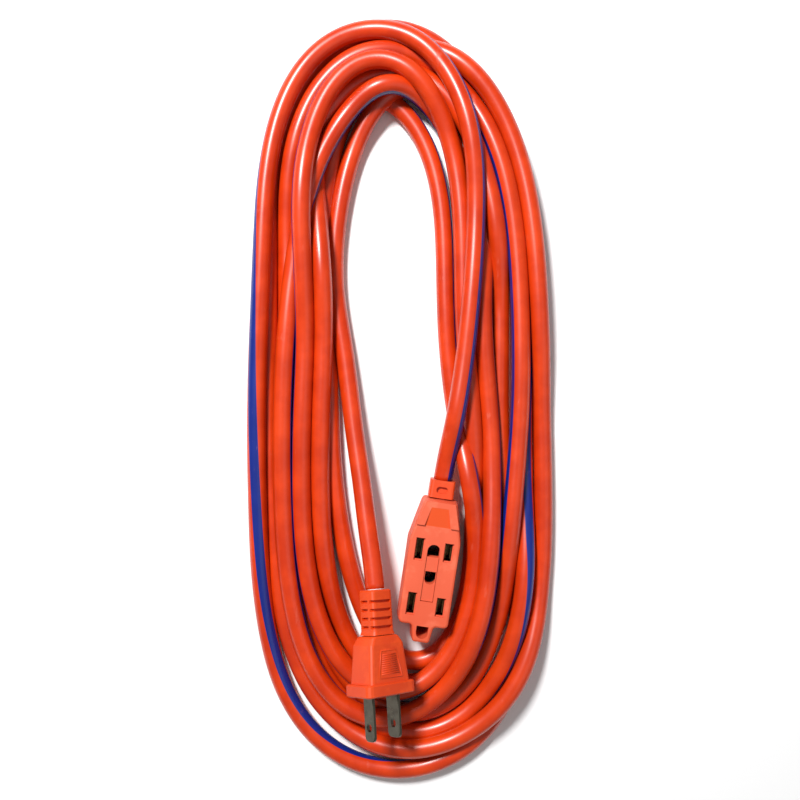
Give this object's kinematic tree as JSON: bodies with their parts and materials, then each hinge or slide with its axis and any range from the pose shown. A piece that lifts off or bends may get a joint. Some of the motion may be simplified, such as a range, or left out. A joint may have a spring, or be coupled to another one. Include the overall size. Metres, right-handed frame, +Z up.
{
  "type": "extension cord",
  "caption": "Household extension cord: a flat outlet block with a sliding ground-hole shutter, a polarised two-blade plug, and a round cord wound into an oval hank.",
  "frame": {"origin": "centre of the underside of the outlet block, on the floor the block lies on", "axes": "+Y along the outlet block towards the end its cord leaves, +Z up out of the block's front face, +X to its right"},
  "size_m": [0.1548, 0.3348, 0.0449],
  "materials": {
    "housing": "satin moulded",
    "relief": "satin moulded",
    "plug_mould": "satin moulded vinyl",
    "insulator": "matte",
    "contact_brass": "rolled strip",
    "blade_nickel": "nickel plate",
    "crimp": "tinned",
    "line_wire": "insulation",
    "neutral_wire": "insulation",
    "cord_jacket": "ribbed vinyl jacket"
  },
  "bodies": {
    "body": {"outlet_front_shell": "housing", "outlet_back_shell": "housing", "contact_carrier": "insulator", "neutral_contact_strip": "contact_brass", "line_contact_strip": "contact_brass", "outlet_strain_relief": "relief", "outlet_neutral_crimp": "crimp", "outlet_line_crimp": "crimp", "outlet_neutral_wire": "neutral_wire", "outlet_line_wire": "line_wire", "plug_body": "plug_mould", "plug_bridge": "plug_mould", "plug_strain_relief": "plug_mould", "plug_line_blade": "blade_nickel", "plug_neutral_blade": "blade_nickel", "plug_line_crimp": "crimp", "plug_neutral_crimp": "crimp", "plug_line_wire": "line_wire", "plug_neutral_wire": "neutral_wire", "cord_hank": "cord_jacket", "cord_outlet_lead": "cord_jacket", "cord_plug_lead": "cord_jacket"},
    "shutter": {"ground_shutter": "housing"}
  },
  "joints": [
    {"name": "shutter_slide", "type": "slide", "parent": "body", "child": "shutter", "axis": [0, 1, 0], "range_m": [0, 0.0035]}
  ]
}
